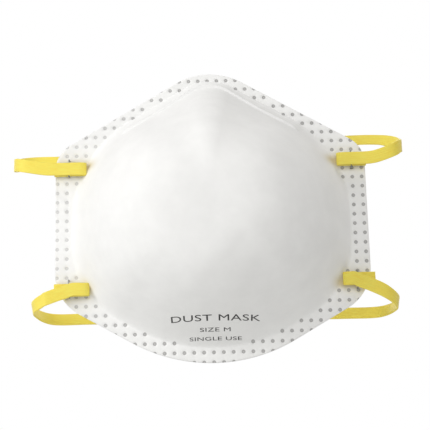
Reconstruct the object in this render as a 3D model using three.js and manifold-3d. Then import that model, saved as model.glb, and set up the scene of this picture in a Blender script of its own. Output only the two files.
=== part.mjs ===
// A disposable cup-shaped dust mask: four moulded layers welded at a flat rim, an aluminium nose clip
// between the outer two, a foam strip inside the nose, and two elastic head straps stapled to the rim.
// Millimetres. The mask is upright, as worn: +X to the viewer's right, the dome faces -Y, +Z is up.
// The origin is the middle of the rim's back plane, where the wearer's face is.

import * as THREE from 'three';
import { mergeVertices } from 'three/addons/utils/BufferGeometryUtils.js';
import Module from 'manifold-3d';

const wasm = await Module();
wasm.setup();

// ---- driving dimensions ----

// die-cut outline of the rim
const rimWidth = 130.4;
const rimHeight = 123.2;
const shoulderSlope = 30.3; // degrees, from the nose down to the upper corners
const chinSlope = 29.5; // degrees, from the lower corners down to the chin
const peakRadius = 28;
const upperCornerRadius = 12;
const lowerCornerRadius = 20;
const chinRadius = 68;

// width of the welded flange between the outline and the foot of the dome
const shoulderFlange = 4.0;
const sideFlange = 6.7;
const chinFlange = 5.5;
const openingPeakRadius = 18;
const openingUpperRadius = 50;
const openingLowerRadius = 38;
const openingChinRadius = 66;

// dome
const domeDepth = 46;
const apexHeight = -2;
const sideFullness = 3.7; // exponent of the dome's profile at the sides and chin
const noseFullness = 2.8; // the nose is leaner
const sideFootCurve = 1.5; // how softly the dome rises from the flange
const noseFootCurve = 1.65;

// layers, from the outside in
const gap = 0.3;
const coverThickness = 0.35;
const filterThickness = 0.4;
const shellThickness = 0.7;
const liningThickness = 0.35;

// nose clip and nose foam
const clipLength = 84;
const clipWidth = 4.1; // across the dome's foot, in the rim's plane
const clipThickness = 0.5;
const clipInset = 0.8; // from the foot of the dome
const foamLength = 76;
const foamWidth = 9;
const foamThickness = 4;
const foamInset = 4.5;

// straps and staples
const strapWidth = 5.4;
const strapThickness = 0.9;
const tailPastEdge = 1.4; // the tail's cut end stands out past the rim's side edge
const loopPastEdge = 3.7; // where the free loop begins
const foldOverFoot = 1.2; // the fold stands in over the foot of the dome
const stapleInset = 6.0; // from the rim's side edge
const stapleMargin = 0.6; // bare rim between the strap's edge and each leg
const stapleWire = 0.5;
const stapleLegReach = 1.3; // length of each clinched leg end
const strapBehind = 18; // the back run's distance behind the rim
// Each strap: its staples' distance from the rim's corner towards the middle of the side, the slope of its
// ends in degrees, how far its turns stand out past the rim, and the heights of its left and right turns
// and back run over its staples.
const straps = {
  upper: { fromCorner: 6.3, tilt: 6, overhang: 18.3, turn: [2.7, 7.2], back: [6.9, 12.9] },
  lower: { fromCorner: 5.3, tilt: -20, overhang: 11.6, turn: [-7.2, -8.4], back: [-9.0, -9.2] },
};

// grid steps of the layers
const arcSteps = { peak: 6, upper: 5, lower: 5, chin: 8 };
const sideSteps = { shoulder: 3, side: 1, chin: 1 };
const domeRows = [0.87, 0.78, 0.66, 0.52, 0.35, 0.17];

// ---- derived sizes ----

const flangeThickness = coverThickness + filterThickness + shellThickness + liningThickness + 3 * gap;
const filterOffset = coverThickness + gap;
const shellOffset = filterOffset + filterThickness + gap;
const liningOffset = shellOffset + shellThickness + gap;
const clipRows = [clipInset, clipInset + clipWidth / 2, clipInset + clipWidth];
const clipRaise = clipThickness + gap;
const stapleX = rimWidth / 2 - stapleInset;
const stapleCrown = strapWidth + 2 * (stapleMargin + stapleWire);

// ---- materials ----

function material(color, roughness, metalness = 0) {
  return new THREE.MeshStandardMaterial({ color, roughness, metalness });
}
const coverFelt = material(0xf3f2ee, 0.9);
const filterWeb = material(0xf8f8f6, 0.95);
const shellFelt = material(0xeeede8, 0.9);
const liningWeb = material(0xf6f6f4, 0.85);
const clipAluminium = material(0xc9ccce, 0.35, 1);
const foamGrey = material(0x8f9296, 0.95);
const strapElastic = material(0xf7d53c, 0.6);
const stapleSteel = material(0x9a9c9f, 0.35, 1);

// ---- outlines in the rim's plane: Vector2 x is X, Vector2 y is Z ----

// A closed outline through rounded corners. Each corner holds point, radius, arc (steps round it) and
// side (steps to the next corner). A radius is limited where its two sides are too short for it.
function roundedOutline(corners) {
  const count = corners.length;
  const turns = corners.map((corner, i) => {
    const before = corner.point.clone().sub(corners[(i + count - 1) % count].point).normalize();
    const after = corners[(i + 1) % count].point.clone().sub(corner.point).normalize();
    const angle = Math.acos(before.dot(after));
    return { before, after, angle, tangent: corner.radius * Math.tan(angle / 2) };
  });
  const limits = corners.map((corner, i) => {
    const next = (i + 1) % count;
    const length = corner.point.distanceTo(corners[next].point);
    return (0.98 * length) / (turns[i].tangent + turns[next].tangent);
  });
  const points = [];
  corners.forEach((corner, i) => {
    const { before, after, angle } = turns[i];
    const radius = corner.radius * Math.min(1, limits[i], limits[(i + count - 1) % count]);
    const start = corner.point.clone().addScaledVector(before, -radius * Math.tan(angle / 2));
    const inwards = new THREE.Vector2(before.y, -before.x);
    const centre = start.clone().addScaledVector(inwards, radius);
    for (let step = 0; step <= corner.arc; step += 1) {
      const turned = (-angle * step) / corner.arc;
      points.push(start.clone().rotateAround(centre, turned));
    }
    const next = corners[(i + 1) % count];
    const nextTurn = turns[(i + 1) % count];
    const nextLimit = Math.min(1, limits[i], limits[(i + 1) % count]);
    const end = next.point.clone().addScaledVector(after, -nextTurn.tangent * nextLimit);
    const from = points[points.length - 1];
    for (let step = 1; step < corner.side; step += 1) {
      points.push(from.clone().lerp(end, step / corner.side));
    }
  });
  return points;
}

// The sharp corners that the outline would have without its radii, moved inwards by the flange's widths.
function sharpCorners(shoulderIn, sideIn, chinIn) {
  const halfWidth = rimWidth / 2 - sideIn;
  const shoulder = THREE.MathUtils.degToRad(shoulderSlope);
  const chin = THREE.MathUtils.degToRad(chinSlope);
  const peak = rimHeight / 2 + peakRadius * (1 / Math.cos(shoulder) - 1) - shoulderIn / Math.cos(shoulder);
  const foot = -rimHeight / 2 - chinRadius * (1 / Math.cos(chin) - 1) + chinIn / Math.cos(chin);
  const upper = peak - halfWidth * Math.tan(shoulder);
  const lower = foot + halfWidth * Math.tan(chin);
  return { halfWidth, peak, upper, lower, foot };
}

// The mask's outline, clockwise from the nose.
function maskOutline({ halfWidth, peak, upper, lower, foot }, radii) {
  const corner = (x, z, radius, arc, side) => ({ point: new THREE.Vector2(x, z), radius, arc, side });
  const outline = roundedOutline([
    corner(0, peak, radii.peak, arcSteps.peak, sideSteps.shoulder),
    corner(halfWidth, upper, radii.upper, arcSteps.upper, sideSteps.side),
    corner(halfWidth, lower, radii.lower, arcSteps.lower, sideSteps.chin),
    corner(0, foot, radii.chin, arcSteps.chin, sideSteps.chin),
    corner(-halfWidth, lower, radii.lower, arcSteps.lower, sideSteps.side),
    corner(-halfWidth, upper, radii.upper, arcSteps.upper, sideSteps.shoulder),
  ]);
  const half = arcSteps.peak / 2; // start at the middle of the nose
  return outline.slice(half).concat(outline.slice(0, half));
}

const edgeCorners = sharpCorners(0, 0, 0);
const edge = maskOutline(edgeCorners, {
  peak: peakRadius,
  upper: upperCornerRadius,
  lower: lowerCornerRadius,
  chin: chinRadius,
});
const opening = maskOutline(sharpCorners(shoulderFlange, sideFlange, chinFlange), {
  peak: openingPeakRadius,
  upper: openingUpperRadius,
  lower: openingLowerRadius,
  chin: openingChinRadius,
});
const apex = new THREE.Vector2(0, apexHeight);

// height of each strap's staples
for (const strap of Object.values(straps)) {
  const corner = strap.tilt > 0 ? edgeCorners.upper : edgeCorners.lower;
  strap.stapleHeight = corner - Math.sign(corner) * strap.fromCorner;
}

// ---- the dome's surface ----

// A point of the outermost surface over the opening's point foot: share is 1 at the foot of the dome and
// 0 at its apex. The height follows (1 - share^fullness)^curve, leaner and softer towards the nose.
function domePoint(foot, share) {
  const spoke = foot.clone().sub(apex);
  const nose = Math.max(0, spoke.y / spoke.length()) ** 2;
  const fullness = THREE.MathUtils.lerp(sideFullness, noseFullness, nose);
  const curve = THREE.MathUtils.lerp(sideFootCurve, noseFootCurve, nose);
  const height = domeDepth * Math.max(0, 1 - share ** fullness) ** curve;
  const flat = apex.clone().addScaledVector(spoke, share);
  return new THREE.Vector3(flat.x, -flangeThickness - height, flat.y);
}

// The same point moved inwards along the surface's normal. before and after are the feet on either side.
function offsetPoint(before, foot, after, share, inwards) {
  const point = domePoint(foot, share);
  const step = 0.01;
  const up = domePoint(foot, Math.min(1, share + step)).sub(domePoint(foot, share - step));
  const along = domePoint(after, share).sub(domePoint(before, share));
  const normal = share >= 1 ? new THREE.Vector3(0, -1, 0) : up.cross(along).normalize();
  if (normal.y > 0) normal.negate();
  return point.addScaledVector(normal, -inwards);
}

function insetShare(foot, inset) {
  return 1 - inset / foot.distanceTo(apex);
}

// ---- bodies from grids ----

// A closed body from rings of points, each the same length, capped by one point at either end.
function ringBody(first, rings, last) {
  const positions = [first, ...rings.flat(), last].flatMap((p) => [p.x, p.y, p.z]);
  const count = rings[0].length;
  const lastIndex = positions.length / 3 - 1;
  const at = (ring, i) => 1 + ring * count + (i % count);
  const index = [];
  for (let i = 0; i < count; i += 1) {
    index.push(0, at(0, i), at(0, i + 1));
    for (let ring = 0; ring + 1 < rings.length; ring += 1) {
      index.push(at(ring, i), at(ring + 1, i), at(ring + 1, i + 1));
      index.push(at(ring, i), at(ring + 1, i + 1), at(ring, i + 1));
    }
    index.push(lastIndex, at(rings.length - 1, i + 1), at(rings.length - 1, i));
  }
  return indexed(positions, index);
}

// A closed bar from cross-sections of the same number of points, with flat ends.
function barBody(sections) {
  const positions = sections.flat().flatMap((p) => [p.x, p.y, p.z]);
  const count = sections[0].length;
  const at = (section, i) => section * count + (i % count);
  const index = [];
  for (let i = 0; i < count; i += 1) {
    for (let section = 0; section + 1 < sections.length; section += 1) {
      index.push(at(section, i), at(section + 1, i), at(section + 1, i + 1));
      index.push(at(section, i), at(section + 1, i + 1), at(section, i + 1));
    }
  }
  const final = sections.length - 1;
  for (let i = 1; i + 1 < count; i += 1) {
    index.push(at(0, 0), at(0, i), at(0, i + 1));
    index.push(at(final, 0), at(final, i + 1), at(final, i));
  }
  return indexed(positions, index);
}

// A geometry whose faces point outwards, whichever way round its triangles were listed.
function indexed(positions, index) {
  const geometry = new THREE.BufferGeometry();
  geometry.setAttribute('position', new THREE.Float32BufferAttribute(positions, 3));
  let volume = 0;
  const corner = (i) => new THREE.Vector3().fromArray(positions, 3 * index[i]);
  for (let i = 0; i < index.length; i += 3) {
    volume += corner(i).dot(corner(i + 1).cross(corner(i + 2)));
  }
  const outwards = volume > 0 ? index : index.slice().reverse();
  geometry.setIndex(outwards);
  return geometry;
}

// ---- cutting with manifold ----

function solid(geometry) {
  const plain = geometry.clone();
  plain.deleteAttribute('normal');
  plain.deleteAttribute('uv');
  const merged = mergeVertices(plain);
  const vertProperties = new Float32Array(merged.attributes.position.array);
  const triVerts = new Uint32Array(merged.index.array);
  return new wasm.Manifold(new wasm.Mesh({ numProp: 3, vertProperties, triVerts }));
}

function fromSolid(cut) {
  const mesh = cut.getMesh();
  const geometry = new THREE.BufferGeometry();
  geometry.setAttribute('position', new THREE.BufferAttribute(mesh.vertProperties, mesh.numProp));
  geometry.setIndex(new THREE.BufferAttribute(mesh.triVerts, 1));
  return geometry;
}

// ---- layers ----

const feet = opening.map((foot, i) => ({
  before: opening[(i + opening.length - 1) % opening.length],
  foot,
  after: opening[(i + 1) % opening.length],
}));

// distance of each foot along the opening from the middle of the nose, the short way round
const footDistances = opening.map(() => 0);
for (let i = 1; i <= opening.length / 2; i += 1) {
  footDistances[i] = footDistances[i - 1] + opening[i].distanceTo(opening[i - 1]);
  footDistances[opening.length - i] = footDistances[i];
}

// 1 on the feet where a layer passes over the nose clip, which is up to one foot past the clip's end
const overClip = opening.map((foot, i) => {
  const inner = i <= opening.length / 2 ? Math.max(0, i - 1) : (i + 1) % opening.length;
  return Math.min(footDistances[i], footDistances[inner]) < clipLength / 2 + gap ? 1 : 0;
});

// One surface of a layer, as rings from the rim's edge to near the apex, inwards from the outermost one.
function layerRings(inwards, raised) {
  const back = -flangeThickness + inwards;
  const rings = [
    edge.map((p) => new THREE.Vector3(p.x, back, p.y)),
    opening.map((p) => new THREE.Vector3(p.x, back, p.y)),
  ];
  for (const inset of clipRows) {
    rings.push(feet.map(({ before, foot, after }, i) => {
      const lifted = inwards - raised * overClip[i];
      return offsetPoint(before, foot, after, insetShare(foot, inset), lifted);
    }));
  }
  for (const share of domeRows) {
    rings.push(feet.map(({ before, foot, after }) => offsetPoint(before, foot, after, share, inwards)));
  }
  return rings;
}

function apexPoint(inwards) {
  return new THREE.Vector3(apex.x, -flangeThickness - domeDepth + inwards, apex.y);
}

function layer(inwards, thickness, raised) {
  const outer = layerRings(inwards, raised).reverse();
  const inner = layerRings(inwards + thickness, raised);
  const body = ringBody(apexPoint(inwards), outer.concat(inner), apexPoint(inwards + thickness));
  let cut = solid(body);
  for (const hole of stapleHoles()) cut = cut.subtract(solid(hole));
  return fromSolid(cut);
}

// the square holes that the staples' legs make through the welded rim
function stapleHoles() {
  const side = stapleWire + 2 * gap;
  const holes = [];
  for (const strap of Object.values(straps)) {
    for (const x of [-stapleX, stapleX]) {
      for (const z of [-1, 1]) {
        const hole = new THREE.BoxGeometry(side, 4 * flangeThickness, side);
        const legHeight = strap.stapleHeight + (z * (stapleCrown - stapleWire)) / 2;
        holes.push(hole.translate(x, 0, legHeight));
      }
    }
  }
  return holes;
}

// ---- strips that follow the nose: the clip and the foam ----

// A strip of the given length and width over the nose, lying between two depths below the outer surface.
function noseStrip(length, inset, width, inwards, thickness) {
  const half = length / 2;
  const right = [];
  for (let i = 0; i < opening.length / 2 && footDistances[i] < half; i += 1) right.push(feet[i]);
  const last = right.length - 1;
  const along = (half - footDistances[last]) / (footDistances[last + 1] - footDistances[last]);
  const end = opening[last].clone().lerp(opening[last + 1], along);
  right.push({ before: opening[last], foot: end, after: opening[last + 1] });
  const mirror = (p) => new THREE.Vector2(-p.x, p.y);
  const left = right.slice(1).reverse().map(({ before, foot, after }) => (
    { before: mirror(after), foot: mirror(foot), after: mirror(before) }));
  const rows = [inset, inset + width / 2, inset + width];
  return barBody(left.concat(right).map(({ before, foot, after }) => {
    const row = (depth) => rows.map((r) => offsetPoint(before, foot, after, insetShare(foot, r), depth));
    return row(inwards).concat(row(inwards + thickness).reverse());
  }));
}

// ---- straps ----

// A flat band along points, its width kept as near to vertical as the path lets it.
function band(points) {
  const tangentAt = (i) => {
    const from = points[Math.max(0, i - 1)];
    const to = points[Math.min(points.length - 1, i + 1)];
    return to.clone().sub(from).normalize();
  };
  return barBody(points.map((point, i) => {
    const tangent = tangentAt(i);
    const across = new THREE.Vector3(0, 0, 1).addScaledVector(tangent, -tangent.z).normalize();
    const face = tangent.clone().cross(across);
    const corner = (w, t) => point.clone()
      .addScaledVector(across, (w * strapWidth) / 2)
      .addScaledVector(face, (t * strapThickness) / 2);
    return [corner(-1, -1), corner(1, -1), corner(1, 1), corner(-1, 1)];
  }));
}

// levels of the stapled end, in front of the flange: tail, then the staple's crown, then the returned layer
const tailLevel = gap + strapThickness / 2 + 0.5;
const crownLevel = tailLevel + strapThickness / 2 + gap + stapleWire / 2;
const returnLevel = crownLevel + stapleWire / 2 + gap + strapThickness / 2;
const standOff = 0.055; // the tail's slope away from the flange, towards its fold
const foldSteps = 6;

// The widest half-width of the opening beside a strap's end, where the dome comes closest to the fold.
function footBeside(strap) {
  const tilt = THREE.MathUtils.degToRad(strap.tilt);
  const reach = strapWidth / 2 + Math.abs(Math.sin(tilt)) * stapleInset;
  const halfWidthAt = (height) => {
    const i = opening.findIndex((foot, k) => k > 0 && foot.y <= height);
    const along = (opening[i - 1].y - height) / (opening[i - 1].y - opening[i].y);
    return opening[i - 1].clone().lerp(opening[i], along).x;
  };
  return Math.max(halfWidthAt(strap.stapleHeight + reach), halfWidthAt(strap.stapleHeight - reach));
}

// The stapled end of a strap: the tail lies under the staple, folds at its inner end and comes back out
// over the staple. Its path is along the strap (x, outwards) and out from the flange (y is -level).
function strapEndPath(strap) {
  const path = [];
  const foldThickness = (returnLevel - tailLevel + strapThickness) / 2;
  const foldDistance = stapleX - footBeside(strap) + foldOverFoot - foldThickness;
  const outer = stapleInset + tailPastEdge;
  const returnLength = stapleInset + loopPastEdge - gap;
  path.push(new THREE.Vector3(outer, -(tailLevel - standOff * outer), 0));
  const foldStart = tailLevel + standOff * foldDistance;
  path.push(new THREE.Vector3(-foldDistance, -foldStart, 0));
  const foldRadius = (returnLevel - foldStart) / 2;
  for (let step = 1; step < foldSteps; step += 1) {
    const angle = (Math.PI * step) / foldSteps;
    const x = -foldDistance - foldRadius * Math.sin(angle);
    path.push(new THREE.Vector3(x, -(foldStart + foldRadius * (1 - Math.cos(angle))), 0));
  }
  path.push(new THREE.Vector3(-foldDistance, -returnLevel, 0));
  path.push(new THREE.Vector3(returnLength / 2, -returnLevel, 0));
  path.push(new THREE.Vector3(returnLength, -returnLevel, 0));
  return path;
}

// Places a point of the end's path on the mask: side is -1 for left and 1 for right.
function placeEnd(strap, side, point) {
  const tilt = THREE.MathUtils.degToRad(strap.tilt);
  const x = side * (stapleX + point.x * Math.cos(tilt));
  const z = strap.stapleHeight + point.x * Math.sin(tilt);
  return new THREE.Vector3(x, point.y - flangeThickness, z);
}

function strapEnd(strap, side) {
  return band(strapEndPath(strap).map((point) => placeEnd(strap, side, point)));
}

// The free loop of a strap: out from one stapled end, round a turn beside the rim, straight across behind
// the mask and back to the other end.
function strapLoop(strap) {
  const sideRoute = (side) => {
    const which = side < 0 ? 0 : 1;
    const leave = (along) => placeEnd(strap, side, new THREE.Vector3(along, -returnLevel, 0));
    const first = leave(stapleInset + loopPastEdge);
    const turnX = side * (rimWidth / 2 + strap.overhang);
    const turnZ = strap.stapleHeight + strap.turn[which];
    const backZ = strap.stapleHeight + strap.back[which];
    const middleY = (strapBehind + first.y) / 2;
    return [
      first,
      leave(stapleInset + loopPastEdge + 2.5),
      new THREE.Vector3(turnX - side * 2.2, middleY - 6.0, turnZ * 0.85 + first.z * 0.15),
      new THREE.Vector3(turnX, middleY, turnZ),
      new THREE.Vector3(turnX - side * 3.2, middleY + 6.5, turnZ * 0.55 + backZ * 0.45),
      new THREE.Vector3(turnX - side * 9.5, strapBehind - 1.2, turnZ * 0.2 + backZ * 0.8),
      new THREE.Vector3(turnX - side * 18, strapBehind, backZ),
    ];
  };
  const turned = (side) => new THREE.CatmullRomCurve3(sideRoute(side), false, 'centripetal').getPoints(18);
  return band(turned(-1).concat(turned(1).reverse()));
}

// ---- staples ----

// A wire staple, closed: crown in front, two legs through the rim, ends bent inwards behind it.
function staple() {
  const half = stapleCrown / 2;
  const inner = half - stapleWire;
  const front = -(flangeThickness + crownLevel + stapleWire / 2);
  const back = gap + stapleWire;
  const tip = inner - stapleLegReach;
  const outline = new THREE.Shape([
    new THREE.Vector2(half, front),
    new THREE.Vector2(half, back),
    new THREE.Vector2(tip, back),
    new THREE.Vector2(tip, back - stapleWire),
    new THREE.Vector2(inner, back - stapleWire),
    new THREE.Vector2(inner, front + stapleWire),
    new THREE.Vector2(-inner, front + stapleWire),
    new THREE.Vector2(-inner, back - stapleWire),
    new THREE.Vector2(-tip, back - stapleWire),
    new THREE.Vector2(-tip, back),
    new THREE.Vector2(-half, back),
    new THREE.Vector2(-half, front),
  ]);
  const wire = new THREE.ExtrudeGeometry(outline, { depth: stapleWire, bevelEnabled: false });
  // the outline's x becomes height, its y stays depth, and the extrusion runs across
  const turn = new THREE.Matrix4().makeBasis(
    new THREE.Vector3(0, 0, 1),
    new THREE.Vector3(0, 1, 0),
    new THREE.Vector3(-1, 0, 0),
  );
  return wire.applyMatrix4(turn).translate(stapleWire / 2, 0, 0);
}

// ---- the assembly ----

function named(name, geometry, finish) {
  const mesh = new THREE.Mesh(geometry, finish);
  mesh.name = name;
  return mesh;
}

const mask = new THREE.Group();

const layers = new THREE.Group();
layers.add(named('outer_cover', layer(0, coverThickness, clipRaise), coverFelt));
layers.add(named('filter_layer', layer(filterOffset, filterThickness, 0), filterWeb));
layers.add(named('support_shell', layer(shellOffset, shellThickness, 0), shellFelt));
layers.add(named('inner_lining', layer(liningOffset, liningThickness, 0), liningWeb));
mask.add(layers);

const clipOffset = coverThickness + gap - clipRaise;
const clipGeometry = noseStrip(clipLength, clipInset, clipWidth, clipOffset, clipThickness);
mask.add(named('nose_clip', clipGeometry, clipAluminium));
const foamGeometry = noseStrip(foamLength, foamInset, foamWidth, flangeThickness + gap, foamThickness);
mask.add(named('nose_foam', foamGeometry, foamGrey));

for (const [level, strap] of Object.entries(straps)) {
  mask.add(named(`${level}_strap_loop`, strapLoop(strap), strapElastic));
  for (const [sideName, side] of [['left', -1], ['right', 1]]) {
    mask.add(named(`${level}_strap_end_${sideName}`, strapEnd(strap, side), strapElastic));
    const wire = named(`${level}_staple_${sideName}`, staple(), stapleSteel);
    wire.position.set(side * stapleX, 0, strap.stapleHeight);
    mask.add(wire);
  }
}

export default mask;
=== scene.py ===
"""A disposable cup-shaped dust mask: four pressed layers welded at a flat rim, a covered nose clip, a foam
strip inside the nose, two yellow elastic straps with stapled ends, and small ink print on the chin."""

import math

import bmesh
import bpy
import numpy as np
from mathutils import Matrix, Vector


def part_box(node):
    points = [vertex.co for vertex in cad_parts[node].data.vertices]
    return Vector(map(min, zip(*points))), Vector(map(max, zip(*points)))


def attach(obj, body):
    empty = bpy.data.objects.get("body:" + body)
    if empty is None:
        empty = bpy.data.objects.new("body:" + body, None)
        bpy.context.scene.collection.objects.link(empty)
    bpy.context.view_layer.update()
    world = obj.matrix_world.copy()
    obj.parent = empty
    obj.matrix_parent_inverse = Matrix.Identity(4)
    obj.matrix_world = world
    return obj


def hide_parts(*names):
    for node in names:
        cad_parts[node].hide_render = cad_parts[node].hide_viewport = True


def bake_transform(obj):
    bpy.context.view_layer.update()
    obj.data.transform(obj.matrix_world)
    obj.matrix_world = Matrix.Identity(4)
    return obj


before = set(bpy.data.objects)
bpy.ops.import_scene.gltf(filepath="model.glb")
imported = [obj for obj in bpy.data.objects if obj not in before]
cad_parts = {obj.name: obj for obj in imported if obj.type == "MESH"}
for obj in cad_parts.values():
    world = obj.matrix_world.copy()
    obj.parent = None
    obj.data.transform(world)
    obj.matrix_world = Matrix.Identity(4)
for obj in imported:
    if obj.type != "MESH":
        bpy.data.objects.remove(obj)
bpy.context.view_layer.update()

# ---- the stage ----
# A pale floor well below the mask, white air around it, and one large soft light close by on the left,
# so that the left of the cup is bright and its right falls into a warm grey.

MM = 0.001
CAMERA_DISTANCE = 430 * MM
CAMERA_BELOW = math.radians(12.3)
CAMERA_ROLL = math.radians(1.5)
CAMERA_TARGET = Vector((1.5, -2.35, -0.4)) * MM
FRAME_SIDE = 430  # and the focal length in the same unit
FOCAL_LENGTH = 1030
SENSOR = 36.0
FLOOR_DROP = 230 * MM


def linear(hex_code):
    """An sRGB hex colour as linear RGBA: each channel through the sRGB curve."""
    channels = [int(hex_code[i : i + 2], 16) / 255 for i in (1, 3, 5)]
    curve = [c / 12.92 if c <= 0.04045 else ((c + 0.055) / 1.055) ** 2.4 for c in channels]
    return (*curve, 1.0)


def add_node(tree, kind, links=None, **settings):
    """Adds one node. settings are its properties, or its inputs' values where the name is an input's
    (spaces as _). links is {input: output socket}, by name or by number."""
    node = tree.nodes.new(kind)
    for key, value in settings.items():
        label = key.replace("_", " ")
        sockets = [s for s in node.inputs if s.name.lower() == label.lower() and s.enabled]
        if hasattr(node, key) and key != "color":
            setattr(node, key, value)
        elif sockets:
            sockets[0].default_value = value
        else:
            raise KeyError(f"{kind} has no {key}")
    for key, source in (links or {}).items():
        if isinstance(key, int):
            target = node.inputs[key]
        else:
            target = [s for s in node.inputs if s.name == key and s.enabled][0]
        tree.links.new(source, target)
    return node


def new_material(name):
    """A node material with only its output; returns the material and its tree."""
    material = bpy.data.materials.new(name)
    material.use_nodes = True
    material.node_tree.nodes.clear()
    return material, material.node_tree


def finish_material(tree, shader):
    """Joins the last shader to the material's output."""
    output = tree.nodes.new("ShaderNodeOutputMaterial")
    tree.links.new(shader.outputs[0], output.inputs["Surface"])


def add_camera():
    """A camera in front of and below the mask, aimed up at its middle and rolled a little."""
    data = bpy.data.cameras.new("camera")
    data.sensor_width = SENSOR
    data.lens = SENSOR * FOCAL_LENGTH / FRAME_SIDE
    camera = bpy.data.objects.new("camera", data)
    towards = Vector((0, math.cos(CAMERA_BELOW), math.sin(CAMERA_BELOW)))
    level = towards.to_track_quat("-Z", "Y").to_matrix().to_4x4()
    camera.matrix_world = (
        Matrix.Translation(CAMERA_TARGET - towards * CAMERA_DISTANCE)
        @ level
        @ Matrix.Rotation(-CAMERA_ROLL, 4, "Z")
    )
    bpy.context.collection.objects.link(camera)
    bpy.context.scene.camera = camera


def add_area_light(name, around, above, distance, size, power, hex_code):
    """A square area light aimed at the mask's middle: around is its angle from the front, to the right."""
    around, above = math.radians(around), math.radians(above)
    flat = distance * math.cos(above)
    place = (flat * math.sin(around), -flat * math.cos(around), distance * math.sin(above))
    data = bpy.data.lights.new(name, "AREA")
    data.shape = "SQUARE"
    data.size = size
    data.energy = power
    data.color = linear(hex_code)[:3]
    light = bpy.data.objects.new(name, data)
    light.matrix_world = (
        Matrix.Translation(place)
        @ (-Vector(place)).to_track_quat("-Z", "Y").to_matrix().to_4x4()
    )
    bpy.context.collection.objects.link(light)


def add_world(seen, ambient_hex, ambient):
    """White air behind the mask, and a dimmer even light from all round."""
    world = bpy.data.worlds.new("studio_air")
    bpy.context.scene.world = world
    world.use_nodes = True
    tree = world.node_tree
    tree.nodes.clear()
    around = add_node(tree, "ShaderNodeBackground", Color=linear(ambient_hex), Strength=ambient)
    behind = add_node(tree, "ShaderNodeBackground", Color=(1, 1, 1, 1), Strength=seen)
    path = add_node(tree, "ShaderNodeLightPath")
    mix = add_node(
        tree,
        "ShaderNodeMixShader",
        {0: path.outputs["Is Camera Ray"], 1: around.outputs[0], 2: behind.outputs[0]},
    )
    output = tree.nodes.new("ShaderNodeOutputWorld")
    tree.links.new(mix.outputs[0], output.inputs["Surface"])


def add_floor(radius, columns):
    """A flat round floor of back-lit paper: a fan of triangles round its middle."""
    turn = np.linspace(0, 2 * np.pi, columns, endpoint=False)
    ring = np.stack([radius * np.cos(turn), radius * np.sin(turn), np.full(columns, -FLOOR_DROP)], 1)
    points = np.vstack([[0, 0, -FLOOR_DROP], ring])
    faces = [(0, 1 + i, 1 + (i + 1) % columns) for i in range(columns)]
    mesh = bpy.data.meshes.new("floor")
    mesh.from_pydata(points.tolist(), [], faces)
    floor = bpy.data.objects.new("floor", mesh)
    bpy.context.collection.objects.link(floor)
    paint, tree = new_material("pale_studio_floor")
    paper = add_node(
        tree,
        "ShaderNodeBsdfPrincipled",
        Base_Color=linear("#9A9A99"),
        Roughness=0.8,
        Emission_Color=linear("#FFFFFD"),
        Emission_Strength=0.34,
    )
    finish_material(tree, paper)
    mesh.materials.append(paint)


add_camera()
add_floor(radius=12, columns=128)
add_world(seen=1.0, ambient_hex="#FFFDFA", ambient=0.37)
add_area_light("key_left", -60, 15, 0.7, 0.35, 2.29, "#FFFFFF")
add_area_light("fill_front", 0, 15, 0.7, 0.35, 1.10, "#FFFFFF")
add_area_light("top_right", 60, 65, 0.7, 0.35, 0.79, "#FFFEFC")
add_area_light("behind_left", 205, 25, 0.9, 0.50, 3.2, "#FFFFFF")
add_area_light("behind_right", 150, 35, 0.9, 0.50, 2.4, "#FFFFFF")
bpy.context.scene.view_settings.view_transform = "Standard"

# ---- the pressed cup ----
# All four layers are pressed to one shape: a flat die-cut rim, a soft foot where the dome leaves it, and a
# deep cup that is leaner towards the nose. Every layer is this one surface, taken at its own depth.

rim_low, rim_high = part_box("outer_cover")
RIM_WIDTH = (rim_high.x - rim_low.x) / MM
RIM_HEIGHT = (rim_high.z - rim_low.z) / MM
SHOULDER_SLOPE = math.radians(30.3)
CHIN_SLOPE = math.radians(29.5)
EDGE_RADII = {"peak": 28, "upper": 12, "lower": 20, "chin": 68}
FOOT_RADII = {"peak": 18, "upper": 50, "lower": 38, "chin": 66}
FLANGE = {"shoulder": 4.0, "side": 6.7, "chin": 5.5}
STEPS = {"peak": (30, 46), "upper": (44, 26), "lower": (36, 14), "chin": (60, 14)}
FINE = 3  # columns of the welded rim for each column of the dome

CAD_RIM_THICKNESS = 2.7
RIM_FRONT = -2.35  # the weld squeezes the layers, so the real rim is thinner than the stack of solids
RIM_THICKNESS = 1.8
CUP_THICKNESS = 2.5
APEX_HEIGHT = -2.0
DOME_DEPTH = -rim_low.y / MM - CAD_RIM_THICKNESS
SWELL = 4.0  # over this distance from the foot the squeezed layers swell to the cup's thickness


def sharp_corners(shoulder, side, chin):
    """The corners of the outline without its radii, clockwise from the nose, moved in by the flange."""
    half = RIM_WIDTH / 2 - side
    peak = RIM_HEIGHT / 2 + EDGE_RADII["peak"] * (1 / math.cos(SHOULDER_SLOPE) - 1)
    peak -= shoulder / math.cos(SHOULDER_SLOPE)
    foot = -RIM_HEIGHT / 2 - EDGE_RADII["chin"] * (1 / math.cos(CHIN_SLOPE) - 1)
    foot += chin / math.cos(CHIN_SLOPE)
    upper = peak - half * math.tan(SHOULDER_SLOPE)
    lower = foot + half * math.tan(CHIN_SLOPE)
    places = [(0, peak), (half, upper), (half, lower), (0, foot), (-half, lower), (-half, upper)]
    return np.array(places, float)


def distance_along(points):
    """The distance from the first point of a line to each of its points: the sum of the steps so far."""
    return np.concatenate([[0], np.cumsum(np.linalg.norm(np.diff(points, axis=0), axis=1))])


def unit(vectors):
    """Each vector divided by its length."""
    return vectors / np.linalg.norm(vectors, axis=-1, keepdims=True)


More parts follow.
